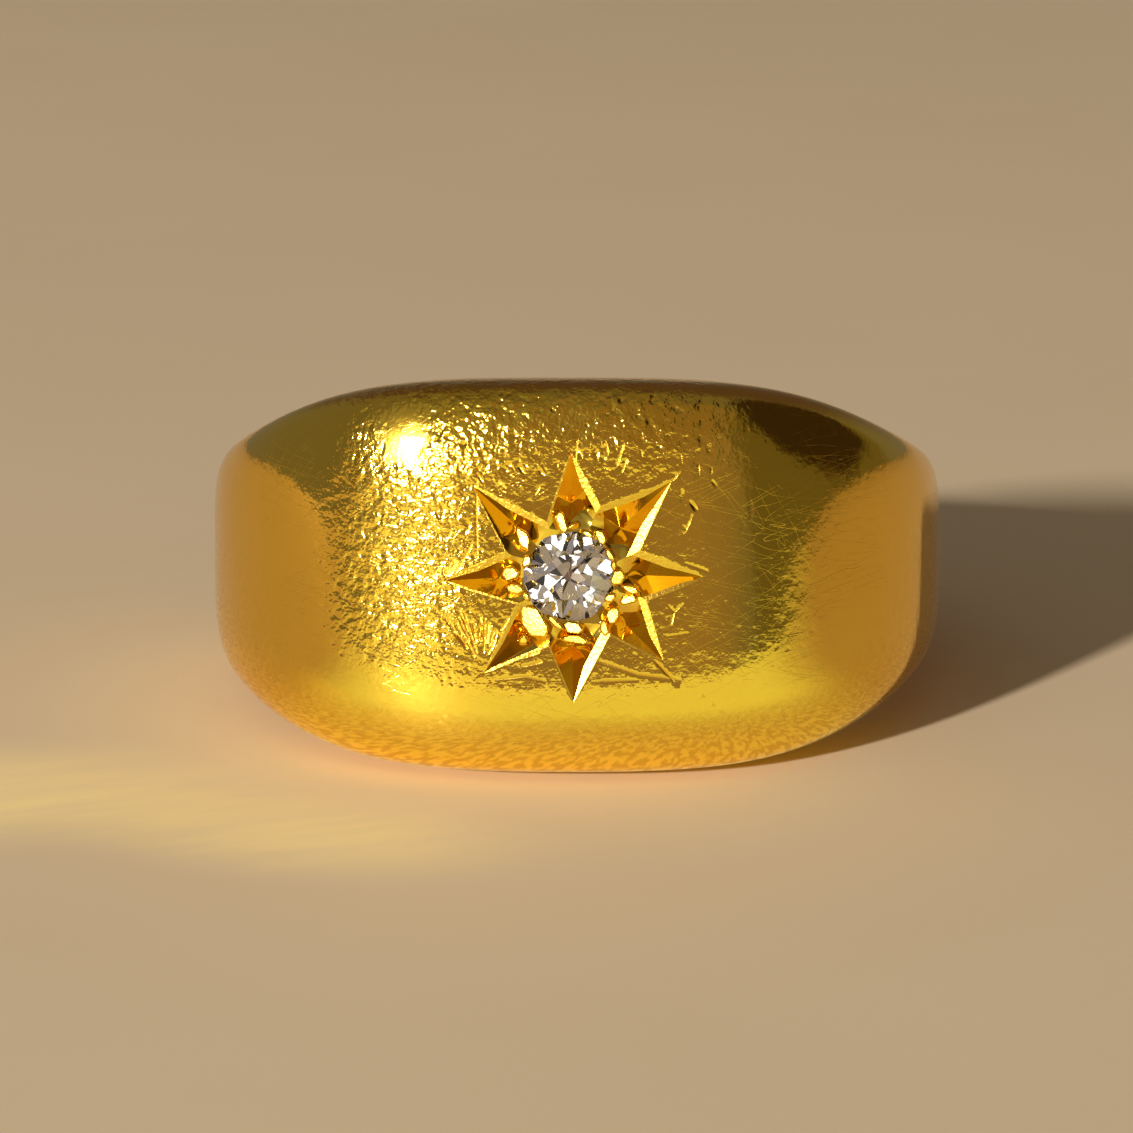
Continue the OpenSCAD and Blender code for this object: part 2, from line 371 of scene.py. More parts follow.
def slip_marks():
    """Short graver slips that fan out between the left ray and the lower left one."""
    draw = np.random.default_rng(8)
    for k in range(slips):
        way = slip_spread[0] + (slip_spread[1] - slip_spread[0]) * (k + draw.uniform()) / slips
        out = np.array([math.cos(way), math.sin(way)])
        start = slip_root + out * draw.uniform(*slip_start)
        end = start + out * draw.uniform(*slip_length) + draw.normal(0, slip_stray, 2)
        yield [tuple(start), tuple(end)], draw.uniform(*slip_half), draw.uniform(*slip_depth)


scratches = scratch_table + list(slip_marks())


def along(points, step):
    """Evenly spaced places along a bent line."""
    points = np.array(points, float)
    run = np.concatenate([[0], np.cumsum(np.linalg.norm(np.diff(points, axis=0), axis=1))])
    even = np.linspace(0, run[-1], max(2, round(run[-1] / step) + 1))
    return np.stack([np.interp(even, run, points[:, k]) for k in (0, 1)], 1)


def scratch_depth(places):
    deepest = np.zeros(len(places))
    for points, half, depth in scratches:
        points = np.array(points)
        total = np.linalg.norm(np.diff(points, axis=0), axis=1).sum()
        done = 0
        for a, b in zip(points, points[1:]):
            length = np.linalg.norm(b - a)
            share = ((places - a) @ (b - a) / length ** 2).clip(0, 1)
            off = np.linalg.norm(places - a - share[:, None] * (b - a), axis=1)
            run = (done + share * length) / total
            fade = np.sqrt((4 * run * (1 - run)).clip(0, 1))
            deepest = np.maximum(deepest, depth * fade * (1 - off / half).clip(0, 1))
            done += length
    return deepest


def below_skin(places):
    """How far the finished face lies below the plain skin, less than zero on a grain."""
    cut = np.maximum(ray_depth(places), 0)
    cut += np.where(cut > 0, 0, scratch_depth(places))
    return np.minimum(cut, -grain_height(places))


# Seat and light hole
# Under the stone a round seat is cut for its girdle, with a cone for its lower half, and a
# hole is drilled from there into the finger hole.
seat_r, seat_down, cone_down, light_r = 1.28, 0.40, 1.09, 0.55
lip_r, lip_uneven, lapped_r, lap_step, lip_least = 1.24, 0.07, 0.98, 0.02, 0.02
girdle_r, girdle_down, crown_slope, stone_gap, seat_play = 1.25, 0.32, 0.678, 0.03, 0.002
hole_count = 144
hole_turns = np.arange(hole_count) * (2 * math.pi / hole_count)
star_y = face_y(np.array([star_x]), np.array([star_z]))[0]


def circle(r):
    return np.stack([np.cos(hole_turns), np.sin(hole_turns)], 1) * np.reshape(r, (-1, 1))


def opening():
    """The lip pressed over the stone's edge, narrower where a grain laps further in."""
    tries = np.linspace(lapped_r, lip_r, 120)
    rough = unevenness(np.column_stack([circle(lip_r), np.zeros(hole_count)]), 0.7, 3)
    reach = lip_r - lip_uneven * rough.clip(0, 1)
    for r in tries[::-1]:
        lapped = np.max([grain.inside(circle(r)) for grain in grains], axis=0) > 0
        reach = np.where(lapped & (reach > r - lap_step), np.minimum(reach, r), reach)
    smooth = sum(np.roll(reach, k) for k in (-1, 0, 1)) / 3
    return np.minimum(smooth, lip_r)


opening_r = opening()


def inside_opening(places):
    turn = np.arctan2(places[:, 1], places[:, 0]) % (2 * math.pi)
    edge = np.interp(turn, np.append(hole_turns, 2 * math.pi), np.append(opening_r, opening_r[0]))
    return np.hypot(*places.T) < edge * 0.9999


# The ring's mesh
# The skin is a grid. Round the star it gives way to a patch whose edges follow every cut.
# Eased rims and the bore's wall close it, so it is one shell as the casting is.
block_angle, block_z = math.radians(25), 3.95
points, faces = [], []


def add_points(new):
    """Adds points to the mesh and returns their numbers."""
    first = sum(map(len, points))
    points.append(np.asarray(new, float))
    return np.arange(first, first + len(new))


def within(loop, places):
    """Which places lie inside a closed loop."""
    inside = np.zeros(len(places), bool)
    x, z = places.T
    for (ax, az), (bx, bz) in zip(loop, np.roll(loop, -1, axis=0)):
        if az != bz:
            crosses = (az > z) != (bz > z)
            inside ^= crosses & (x < (bx - ax) * (z - az) / (bz - az) + ax)
    return inside


def trimmed(tris, ends):
    """Triangles left after those that hang over the patch's end lines are taken away."""
    size = tris.max() + 1
    ends = np.array([a * size + b for a, b in ends])
    while True:
        pairs = np.sort(np.stack([tris, np.roll(tris, -1, axis=1)], 2), axis=2)
        codes = pairs[..., 0] * size + pairs[..., 1]
        _, where, counts = np.unique(codes, return_inverse=True, return_counts=True)
        single = counts[where.reshape(codes.shape)] == 1
        hangs = (single & ~np.isin(codes, ends)).any(1)
        if not hangs.any():
            return tris
        tris = tris[~hangs]


class Drawing:
    """Points and lines on a flat drawing, for a patch of the mesh that follows them."""

    clearance = 0.62

    def __init__(self):
        self.places, self.lines, self.sharp, self.count = [], [], [], 0

    def add(self, places, sharp=False, closed=False, joined=True):
        first, n = self.count, len(places)
        self.places.append(np.asarray(places, float))
        self.count += n
        if joined:
            ends = range(n if closed else n - 1)
            self.lines += [(first + k, first + (k + 1) % n) for k in ends]
            self.sharp += [sharp] * len(ends)
        return np.arange(first, first + n)

    def fill(self, spacing, wanted):
        """Adds points in a close pattern wherever wanted() says, clear of the lines."""
        taken = kdtree.KDTree(self.count)
        for k, (x, z) in enumerate(np.concatenate(self.places)):
            taken.insert((x, z, 0), k)
        taken.balance()
        low = np.concatenate(self.places).min(0)
        high = np.concatenate(self.places).max(0)
        step = spacing * math.sqrt(3) / 2
        lattice = []
        for k in range(int((high[1] - low[1]) / step) + 1):
            x = np.arange(low[0] + (k % 2) * spacing / 2, high[0], spacing)
            lattice.append(np.stack([x, np.full(len(x), low[1] + k * step)], 1))
        lattice = np.concatenate(lattice)
        lattice = lattice[wanted(lattice)]
        clear = [taken.find((x, z, 0))[2] > spacing * self.clearance for x, z in lattice]
        self.add(lattice[clear], joined=False)

    def triangles(self, outer, hole):
        """Places, triangles, sharp edges, and the number of each given point's place.
        The patch ends at the loop outer, and leaves out the loop hole."""
        places = np.concatenate(self.places)
        out, edges, tris, given, from_edges, _ = delaunay_2d_cdt(
            [Vector(p) for p in places], self.lines, [], 1, 1e-6, True)
        number = np.full(len(places), -1)
        for k, old in enumerate(given):
            number[old] = k
        sharp = [e for e, old in zip(edges, from_edges) if any(self.sharp[i] for i in old)]
        out, tris = np.array([p[:] for p in out]), np.array(tris)
        ends = []
        for loop, wanted in ((number[outer], True), (number[hole], False)):
            a, b = out[tris[:, 1]] - out[tris[:, 0]], out[tris[:, 2]] - out[tris[:, 0]]
            broad = np.abs(a[:, 0] * b[:, 1] - a[:, 1] * b[:, 0]) > 1e-6
            spans = np.isin(tris, loop).all(1)
            inside = within(out[loop], out[tris].mean(1))
            tris = tris[~(spans & broad & (inside != wanted))]
            ends += [tuple(sorted(e)) for e in zip(loop, np.roll(loop, -1))]
        return out, trimmed(tris, ends), np.array(sharp), number


skin_ids = add_points(skin.reshape(-1, 3)).reshape(columns, rows)
in_block = [k for k in range(columns) if abs(angles[k]) < block_angle + 1e-6]
first_column, last_column = in_block[0], in_block[-1]
middle = skin[columns // 2]
in_rows = [k for k in range(rows) if abs(middle[k, 2]) < block_z and middle[k, 1] < -bore_r - 1]
first_row, last_row = in_rows[0], in_rows[-1]

for i in range(columns):
    for j in range(rows - 1):
        if not (first_column <= i < last_column and first_row <= j < last_row):
            k = (i + 1) % columns
            faces.append((skin_ids[i, j], skin_ids[k, j], skin_ids[k, j + 1], skin_ids[i, j + 1]))

across = range(first_column, last_column)
down = range(first_row, last_row)
block_loop = ([skin_ids[i, first_row] for i in across]
              + [skin_ids[last_column, j] for j in down]
              + [skin_ids[i, last_row] for i in reversed(range(first_column + 1, last_column + 1))]
              + [skin_ids[first_column, j] for j in reversed(range(first_row + 1, last_row + 1))])

star = Drawing()
middle_of_star = np.array([star_x, star_z])
loop_places = points[0][block_loop][:, (0, 2)] - middle_of_star
loop_numbers = star.add(loop_places, closed=True)
opening_numbers = star.add(circle(opening_r), sharp=True, closed=True)
fine, shallowest, touching, narrow_w = 0.045, 0.004, 0.002, 0.1
lines_clear, fill_clear = 1.03, 1.02
ridge_reach = 2.4


def add_line(places, sharp):
    """Draws a line, leaving out what lies over the stone."""
    keep = ~inside_opening(places / lines_clear)
    runs = np.split(np.arange(len(places)), np.flatnonzero(np.diff(keep)) + 1)
    for run in runs:
        if keep[run[0]] and len(run) > 1:
            star.add(places[run], sharp=sharp)


def ridge(one, other):
    """The line where two neighbouring cuts meet, from the stone outwards."""
    turn = (other.direction - one.direction) % (2 * math.pi)
    found = []
    for r in np.arange(rim_at, ridge_reach, fine):
        low, high = 0.0, 1.0
        for _ in range(30):
            mid = one.direction + turn * (low + high) / 2
            place = np.array([[math.cos(mid), math.sin(mid)]]) * r
            if one.depth(place)[0] > other.depth(place)[0]:
                low = (low + high) / 2
            else:
                high = (low + high) / 2
        if one.depth(place)[0] < shallowest:
            break
        found.append(place[0])
    return np.array(found)


for ray, neighbour in zip(rays, rays[1:] + rays[:1]):
    u = np.arange(rim_at, ray.point, fine)
    add_line(ray.place(u, u * 0), sharp=True)
    for left, side in ((True, 1), (False, -1)):
        for offset in (edge_w, -edge_w):
            narrow = ray.width(u, left)
            v = np.maximum(narrow + offset * np.minimum(1, narrow / narrow_w), shallowest)
            others = [r.depth(ray.place(u, side * v)) for r in rays if r is not ray]
            clear = np.max(others, axis=0) < touching
            if clear.any():
                start = np.flatnonzero(~clear)[-1] + 1 if (~clear).any() else 0
                add_line(ray.place(u, side * v)[start:], sharp=False)
        inner = side * (ray.width(u, left) - ray.bevel(u, left))
        add_line(ray.place(u, inner), sharp=True)
    met = ridge(ray, neighbour)
    if len(met) > 1:
        add_line(met, sharp=True)
for grain in grains:
    for share in (0, 0.25, 1):
        add_line(grain.outline(share), sharp=share == 0)
for bent, half, depth in scratches:
    middle_line = along(bent, fine)
    way = np.gradient(middle_line, axis=0)
    side = np.stack([-way[:, 1], way[:, 0]], 1) / np.linalg.norm(way, axis=1)[:, None]
    for offset in (-half, 0, half):
        add_line(middle_line + side * offset, sharp=offset == 0)

near_stone, star_reach = 2.2, 4.0
closest, closer, close = 0.032, 0.058, 0.14
star.fill(closest, lambda p: (np.hypot(*p.T) < near_stone) & ~inside_opening(p / fill_clear))
star.fill(closer, lambda p: (np.hypot(*p.T) < star_reach) & (np.hypot(*p.T) > near_stone))
star.fill(close, lambda p: (np.hypot(*p.T) > star_reach) & within(loop_places, p))

places, tris, sharp_pairs, number = star.triangles(loop_numbers, opening_numbers)
on_face = places + middle_of_star
sunk = below_skin(places)
plain_y = face_y(on_face[:, 0], on_face[:, 1])
face_points = np.stack([on_face[:, 0], -plain_y, on_face[:, 1]], 1)
face_points[:, 1] += worn(face_points) + sunk
star_ids = add_points(face_points)
star_ids[number[loop_numbers]] = block_loop
middles, lowest = places[tris].mean(1), sunk[tris].max(1)
cut_deep, cut_reach, scratch_least, grain_bright = 0.03, 3.9, 0.003, 0.13
deep = lowest > cut_deep
near = np.hypot(*middles.T) < cut_reach
raised = (grain_height(middles) > -grain_bright) & (lowest < grain_bright)
bevelled = np.any([ray.on_bevel(middles) for ray in rays], axis=0)
scratched = (scratch_depth(middles) > scratch_least) & ~deep
first_star_face = len(faces)
faces += [tuple(t) for t in star_ids[tris]]
cut_faces = first_star_face + np.flatnonzero(deep & near)
bright_faces = first_star_face + np.flatnonzero(raised | bevelled | scratched)
sharp_edges = {tuple(sorted(e)) for e in star_ids[sharp_pairs].tolist()}


def join(one, other):
    """Faces between two closed loops with as many points each."""
    for k in range(len(one)):
        n = (k + 1) % len(one)
        faces.append((one[k], one[n], other[n], other[k]))


def loop_at(r, down):
    """A loop round the star's middle, so far out, and so far below the face there."""
    flat = circle(r) + middle_of_star
    return np.stack([flat[:, 0], -star_y + np.broadcast_to(down, hole_count), flat[:, 1]], 1)


def bore_places(flat):
    """Places on the bore's wall behind places on the face."""
    return np.stack([flat[:, 0], -np.sqrt(bore_r ** 2 - flat[:, 0] ** 2), flat[:, 1]], 1)


top_ids = star_ids[number[opening_numbers]]
over_stone = girdle_down - (girdle_r - np.minimum(opening_r, girdle_r)) * crown_slope - stone_gap
top_down = np.concatenate(points)[top_ids][:, 1] + star_y
over_stone = np.maximum(over_stone, top_down + lip_least)
loops = [top_ids,
         add_points(loop_at(opening_r, over_stone)),
         add_points(loop_at(seat_r + seat_play, np.maximum(over_stone, girdle_down - stone_gap))),
         add_points(loop_at(seat_r + seat_play, seat_down)),
         add_points(loop_at(light_r, cone_down)),
         add_points(bore_places(circle(light_r) + middle_of_star))]
first_seat_face = len(faces)
for one, other in zip(loops, loops[1:]):
    join(one, other)
    sharp_edges |= {tuple(sorted((int(other[k]), int(other[(k + 1) % hole_count]))))
                    for k in range(hole_count)}
seat_faces = range(first_seat_face, len(faces))

ease_turns = np.linspace(0, math.pi / 2, 6)[1:]
rim_loops = {}
for side, row in ((1, 0), (-1, rows - 1)):
    outer = skin_ids[:, row]
    for turn in ease_turns:
        r = rim_r - ease_w * math.sin(turn)
        z = side * (half_length(angles) - ease_h * (1 - math.cos(turn)))
        inner = add_points(np.stack([r * np.sin(angles), -r * np.cos(angles), z], 1))
        join(outer, inner)
        outer = inner
    rim_loops[side] = outer

bore_rows = 28
window_angle, window_z = math.radians(7), 1.15
bore_first = len(faces)
wall_z = np.linspace(1, -1, bore_rows)
edge_z = half_length(angles) - ease_h
bore = np.empty((columns, bore_rows), int)
bore[:, 0], bore[:, -1] = rim_loops[1], rim_loops[-1]
wall_xy = np.stack([bore_r * np.sin(angles), -bore_r * np.cos(angles)], 1)
for j in range(1, bore_rows - 1):
    bore[:, j] = add_points(np.column_stack([wall_xy, wall_z[j] * edge_z]))
hole_columns = [k for k in range(columns) if abs(angles[k]) < window_angle + 1e-6]
bore_c0, bore_c1 = hole_columns[0], hole_columns[-1]
middle_z = wall_z * edge_z[columns // 2]
near_rows = [j for j in range(bore_rows) if abs(middle_z[j] - star_z) < window_z]
bore_j0, bore_j1 = near_rows[0], near_rows[-1]
for i in range(columns):
    for j in range(bore_rows - 1):
        if not (bore_c0 <= i < bore_c1 and bore_j0 <= j < bore_j1):
            k = (i + 1) % columns
            faces.append((bore[i, j], bore[k, j], bore[k, j + 1], bore[i, j + 1]))
window = ([bore[i, bore_j0] for i in range(bore_c0, bore_c1)]
          + [bore[bore_c1, j] for j in range(bore_j0, bore_j1)]
          + [bore[i, bore_j1] for i in reversed(range(bore_c0 + 1, bore_c1 + 1))]
          + [bore[bore_c0, j] for j in reversed(range(bore_j0 + 1, bore_j1 + 1))])
drilled = Drawing()
so_far = np.concatenate(points)
window_numbers = drilled.add(so_far[window][:, (0, 2)], closed=True)
circle_numbers = drilled.add(circle(light_r) + middle_of_star, closed=True)
for r, every in ((0.60, 2), (0.70, 4), (0.84, 4)):
    drilled.add(circle(r)[::every] + middle_of_star, joined=False)
flat, tris, _, number = drilled.triangles(window_numbers, circle_numbers)
drilled_ids = add_points(bore_places(flat))
drilled_ids[number[window_numbers]] = window
drilled_ids[number[circle_numbers]] = loops[-1]
faces += [tuple(t) for t in drilled_ids[tris]]
bore_faces = range(bore_first, len(faces))

everything = np.concatenate(points)
mesh = bpy.data.meshes.new("ring")
used = np.unique(np.concatenate([np.array(f) for f in faces]))
renumber = np.full(len(everything), -1)
renumber[used] = np.arange(len(used))
mesh.from_pydata([tuple(p) for p in everything[used]], [], [tuple(renumber[list(f)]) for f in faces])
mesh.transform(at_rest)
slots = np.zeros(len(faces), int)
slots[cut_faces] = 1
slots[list(seat_faces)] = 1
slots[bright_faces] = 3
slots[list(bore_faces)] = 2
mesh.polygons.foreach_set("material_index", slots)
shell = bmesh.new()
shell.from_mesh(mesh)
bmesh.ops.recalc_face_normals(shell, faces=shell.faces)
shell.verts.ensure_lookup_table()
for a, b in sharp_edges:
    if renumber[a] >= 0 and renumber[b] >= 0:
        edge = shell.edges.get((shell.verts[renumber[a]], shell.verts[renumber[b]]))
        if edge:
            edge.smooth = False
for face in shell.faces:
    face.smooth = True
shell.to_mesh(mesh)
shell.free()
ring = bpy.data.objects.new("ring", mesh)
bpy.context.scene.collection.objects.link(ring)


# Gold
# Old 18 carat gold, polished and then handled for a century: the skin is dulled by tiny dents
# and fine rubs, the star's cuts are still bright, and the inside is satiny from the finger.
def node(tree, kind, inputs=(), **settings):
    """A new node, with plain values or links on its inputs."""
    made = tree.nodes.new(kind)
    for name, value in settings.items():
        setattr(made, name, value)
    for name, value in dict(inputs).items():
        if isinstance(value, bpy.types.NodeSocket):
            tree.links.new(value, made.inputs[name])
        else:
            made.inputs[name].default_value = value
    return made


def maths(tree, operation, first, *others):
    """Joins values one after another by the same operation."""
    for other in others:
        first = node(tree, "ShaderNodeMath", {0: first, 1: other}, operation=operation).outputs[0]
    return first


def ramp(tree, value, low, high, to_low=0.0, to_high=1.0):
    """Turns a value's range into another, with a smooth start and end."""
    made = node(tree, "ShaderNodeMapRange", {"Value": value, "From Min": low, "From Max": high,
                "To Min": to_low, "To Max": to_high}, interpolation_type="SMOOTHSTEP")
    return made.outputs["Result"]


def noise(tree, where, scale, detail, rough=0.5):
    made = node(tree, "ShaderNodeTexNoise",
                {"Vector": where, "Scale": scale, "Detail": detail, "Roughness": rough})
    return made.outputs["Fac"]


def vector(tree, operation, place, other=(0, 0, 0), out="Vector"):
    """A step of arithmetic on places, which gives a place or, with out="Value", a number."""
    return node(tree, "ShaderNodeVectorMath", {0: place, 1: other}, operation=operation).outputs[out]


def scaled(tree, place, scale):
    made = node(tree, "ShaderNodeVectorMath", {0: place, "Scale": scale}, operation="SCALE")
    return made.outputs["Vector"]


def stretched(tree, where, size, turn=(0, 0, 0), middle=(0, 0, 0)):
    """The place, turned and stretched about a middle, for marks of a size that run one way."""
    made = node(tree, "ShaderNodeMapping", {"Vector": where, "Location": middle, "Scale": size,
                "Rotation": [math.radians(t) for t in turn]}, vector_type="TEXTURE")
    return made.outputs["Vector"]


def blend(tree, share, one, other, **settings):
    """A colour between two others, or with a blend_type another mixture of them."""
    made = node(tree, "ShaderNodeMix", {0: share, 6: one, 7: other}, data_type="RGBA", **settings)
    return made.outputs[2]


wear = bpy.data.node_groups.new("handled_gold", "ShaderNodeTree")
for way, kind, names in (
        ("INPUT", "NodeSocketColor", ("Polished", "Tarnished")),
        ("INPUT", "NodeSocketFloat",
         ("Fineness", "Dents", "Rubs", "Scratches", "Smoothest", "Dullest")),
        ("OUTPUT", "NodeSocketColor", ("Color",)),
        ("OUTPUT", "NodeSocketFloat", ("Roughness", "Height"))):
    for name in names:
        wear.interface.new_socket(name, in_out=way, socket_type=kind)
given = wear.nodes.new("NodeGroupInput").outputs
wanted = wear.nodes.new("NodeGroupOutput").inputs
in_mm = scaled(wear, wear.nodes.new("ShaderNodeTexCoord").outputs["Object"], 1 / MM)
place = node(wear, "ShaderNodeSeparateXYZ", {0: in_mm}).outputs

# The head's front has had most of the knocks, thickest on its left
patches = noise(wear, in_mm, 0.45, 3)
right_knocks = ramp(wear, place["Z"], 7.8, 9.2, 0.42, 0.85)
knocked = maths(wear, "MULTIPLY",
                ramp(wear, place["X"], -7.2, -5.4),
                ramp(wear, place["X"], -0.4, -3.1, right_knocks, 1),
                ramp(wear, place["X"], 6.0, 2.0),
                ramp(wear, place["Z"], 2.0, 4.4),
                ramp(wear, place["Y"], -6.0, -8.5),
                ramp(wear, patches, 0.25, 0.5, 0.5, 1))
smooth_spot = (-4.4, -8.9, 9.35)
from_smooth = vector(wear, "DISTANCE", in_mm, smooth_spot, "Value")
top_knocks = maths(wear, "MULTIPLY", ramp(wear, place["Z"], 7.6, 9.6, 1, 2.0),
                   ramp(wear, from_smooth, 0.45, 1.30, 0.11, 1))
haze = ramp(wear, from_smooth, 0.25, 0.95, 0.09, 0)

# Dents and small pits
fine_mm = scaled(wear, in_mm, given["Fineness"])
pit = node(wear, "ShaderNodeTexVoronoi", {"Vector": fine_mm, "Scale": 4.6}).outputs
pits = maths(wear, "MULTIPLY", ramp(wear, pit["Distance"], 0.0, 0.6, -0.30, 0),
             ramp(wear, pit["Color"], 0.45, 0.85))
dents = maths(wear, "ADD", noise(wear, fine_mm, 3.1, 2.6, 0.60), pits)
dent_height = maths(wear, "MULTIPLY", dents, given["Dents"],
                    ramp(wear, knocked, 0, 1, 0.09, 1), top_knocks)

# Rubs round the finger, and hairlines three ways
rubs = noise(wear, stretched(wear, in_mm, (0.9, 0.9, 0.05)), 1, 3, 0.6)
lines = 0.0
for turn in (15, -40, 80):
    streak = noise(wear, stretched(wear, in_mm, (3.0, 3.0, 0.3), (0, turn, turn)), 1, 1)
    near_streak = maths(wear, "ABSOLUTE", maths(wear, "SUBTRACT", streak, 0.5), 0)
    lines = maths(wear, "MINIMUM", lines, ramp(wear, near_streak, 0.0, 0.004, -1, 0))
lines = maths(wear, "MULTIPLY", lines, ramp(wear, patches, 0.45, 0.62, 0.25, 1))

# Longer nicks, only on the head's upper part
nicks = 0.0
for turn, size in ((4, (0.34, 0.34, 1.1)), (-32, (0.26, 0.26, 0.7))):
    nick = node(wear, "ShaderNodeTexVoronoi", {
        "Vector": stretched(wear, in_mm, size, (0, turn, 0)), "Scale": 1}).outputs
    nick = maths(wear, "MULTIPLY", ramp(wear, nick["Color"], 0.62, 0.90),
                 ramp(wear, nick["Distance"], 0.02, 0.34, -1, 0))
    nicks = maths(wear, "MINIMUM", nicks, nick)
nick_height = maths(wear, "MULTIPLY", nicks, given["Dents"],
                    ramp(wear, place["X"], -7.5, -4.0),
                    ramp(wear, place["X"], 6.0, 4.0),
                    ramp(wear, place["Y"], -8.0, -9.5),
                    ramp(wear, place["Z"], 5.0, 8.5))

wear.links.new(maths(wear, "ADD", dent_height, nick_height,
                     maths(wear, "MULTIPLY", rubs, given["Rubs"]),
                     maths(wear, "MULTIPLY", lines, given["Scratches"])), wanted["Height"])
dull_share = maths(wear, "ADD", maths(wear, "MULTIPLY", knocked, 0.45),
                   maths(wear, "MULTIPLY", patches, 0.4), maths(wear, "MULTIPLY", rubs, 0.3))
dullness = node(wear, "ShaderNodeMapRange", {
    "Value": dull_share, "From Min": 0.2, "From Max": 0.95, "To Min": given["Smoothest"],
    "To Max": given["Dullest"]}).outputs["Result"]
wear.links.new(maths(wear, "ADD", haze, dullness), wanted["Roughness"])
wear.links.new(blend(wear, dull_share, given["Polished"], given["Tarnished"]), wanted["Color"])

yellow, deep_yellow = (0.96, 0.64, 0.105, 1), (0.90, 0.54, 0.06, 1)


def gold(name, fineness, dents, rubs, scratches, smoothest, dullest):
    """Gold with its own share of wear. Dents, rubs and scratches are heights in mm."""
    material = bpy.data.materials.new(name)
    material.use_nodes = True
    tree = material.node_tree
    shader = tree.nodes["Principled BSDF"]
    shader.inputs["Metallic"].default_value = 1
    skin = node(tree, "ShaderNodeGroup", node_tree=wear)
    for socket, value in (("Polished", yellow), ("Tarnished", deep_yellow),
                          ("Fineness", fineness), ("Dents", dents), ("Rubs", rubs),
                          ("Scratches", scratches), ("Smoothest", smoothest),
                          ("Dullest", dullest)):
        skin.inputs[socket].default_value = value
    bump = node(tree, "ShaderNodeBump", {"Height": skin.outputs["Height"], "Distance": MM})
    tree.links.new(skin.outputs["Color"], shader.inputs["Base Color"])
    tree.links.new(skin.outputs["Roughness"], shader.inputs["Roughness"])
    tree.links.new(bump.outputs["Normal"], shader.inputs["Normal"])
    ring.data.materials.append(material)


gold("worn_gold", 1, 0.050, 0.0005, 0.0008, 0.035, 0.12)
gold("cut_gold", 1, 0.005, 0.0008, 0, 0.05, 0.10)
gold("inside_gold", 1, 0.020, 0.003, 0.002, 0.22, 0.36)
gold("bright_gold", 3, 0.045, 0.0020, 0.0010, 0.26, 0.40)
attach(ring, "root")
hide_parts("ring_body")


# Diamond
# An old European cut: a small table, a high crown and a deep lower half with a blunt point,
# ground by hand, so that no two of its facets are quite alike.
table_r, crown_h, girdle_t, pavilion_h, culet_h = 0.66, 0.40, 0.05, 1.06, 0.06
crown_main, star_facet, upper_half = 34.1, 24.9, 40.5
pavilion_main, lower_half = 41.9, 43.5
half_facet, upper_dip, lower_dip = 11.25, 0.008, 0.006
slope_error = 1.8
turn_error = slope_error * 1.4
stone_turn = math.radians(14)
drawn = np.random.default_rng(12)


def grind(stone, slope, turn, reach, height):
    """Grinds one facet: slope in degrees from flat, through a point so far out and up."""
    turn = math.radians(turn + drawn.normal(0, turn_error))
    slope = math.radians(slope + drawn.normal(0, slope_error))
    around = Vector((math.cos(turn), math.sin(turn), 0))
    normal = around * math.sin(slope) + Vector((0, 0, math.cos(slope)))
    cut = bmesh.ops.bisect_plane(
        stone, geom=stone.verts[:] + stone.edges[:] + stone.faces[:], dist=1e-7,
        plane_co=around * reach + Vector((0, 0, height)), plane_no=normal, clear_outer=True)
    rim = [e for e in cut["geom_cut"] if isinstance(e, bmesh.types.BMEdge)]
    if len(rim) > 2:
        bmesh.ops.contextual_create(stone, geom=rim)


stone = bmesh.new()
bmesh.ops.create_cone(stone, cap_ends=True, segments=96, radius1=girdle_r, radius2=girdle_r,
                      depth=crown_h + girdle_t + pavilion_h)
bmesh.ops.translate(stone, verts=stone.verts, vec=(0, 0, (crown_h - girdle_t - pavilion_h) / 2))
for k in range(8):
    grind(stone, crown_main, 45 * k, girdle_r, 0)
for k in range(8):
    for side in (-1, 1):
        grind(stone, upper_half, 45 * k + side * half_facet, girdle_r, -upper_dip)
for k in range(8):
    grind(stone, star_facet, 45 * k + 22.5, table_r * math.cos(math.pi / 8), crown_h)
grind(stone, 0, 0, 0, crown_h)
for k in range(8):
    grind(stone, 180 - pavilion_main, 45 * k, girdle_r, -girdle_t)
for k in range(8):
    for side in (-1, 1):
        turn = 45 * k + 22.5 + side * half_facet
        grind(stone, 180 - lower_half, turn, girdle_r, -girdle_t - lower_dip)
grind(stone, 180, 0, 0, -girdle_t - pavilion_h + culet_h)
bmesh.ops.recalc_face_normals(stone, faces=stone.faces)
gem_mesh = bpy.data.meshes.new("gem")
stone.to_mesh(gem_mesh)
stone.free()
to_seat = (Matrix.Translation((star_x, -star_y + girdle_down, star_z))
           @ Matrix.Rotation(math.radians(90), 4, "X")
           @ Matrix.Rotation(stone_turn, 4, "Z"))
gem_mesh.transform(at_rest @ to_seat)
gem = bpy.data.objects.new("gem", gem_mesh)
bpy.context.scene.collection.objects.link(gem)
stone_glass = bpy.data.materials.new("old_cut_diamond")
stone_glass.use_nodes = True
glass = stone_glass.node_tree
shader = glass.nodes["Principled BSDF"]
shader.inputs["Transmission Weight"].default_value = 1
shader.inputs["IOR"].default_value = 2.42
gem_mm = scaled(glass, glass.nodes.new("ShaderNodeTexCoord").outputs["Object"], 1 / MM)
rubbed = ramp(glass, noise(glass, gem_mm, 3, 4), 0.52, 0.75, 0, 0.035)
glass.links.new(rubbed, shader.inputs["Roughness"])
gem.data.materials.append(stone_glass)
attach(gem, "root")
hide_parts("diamond")


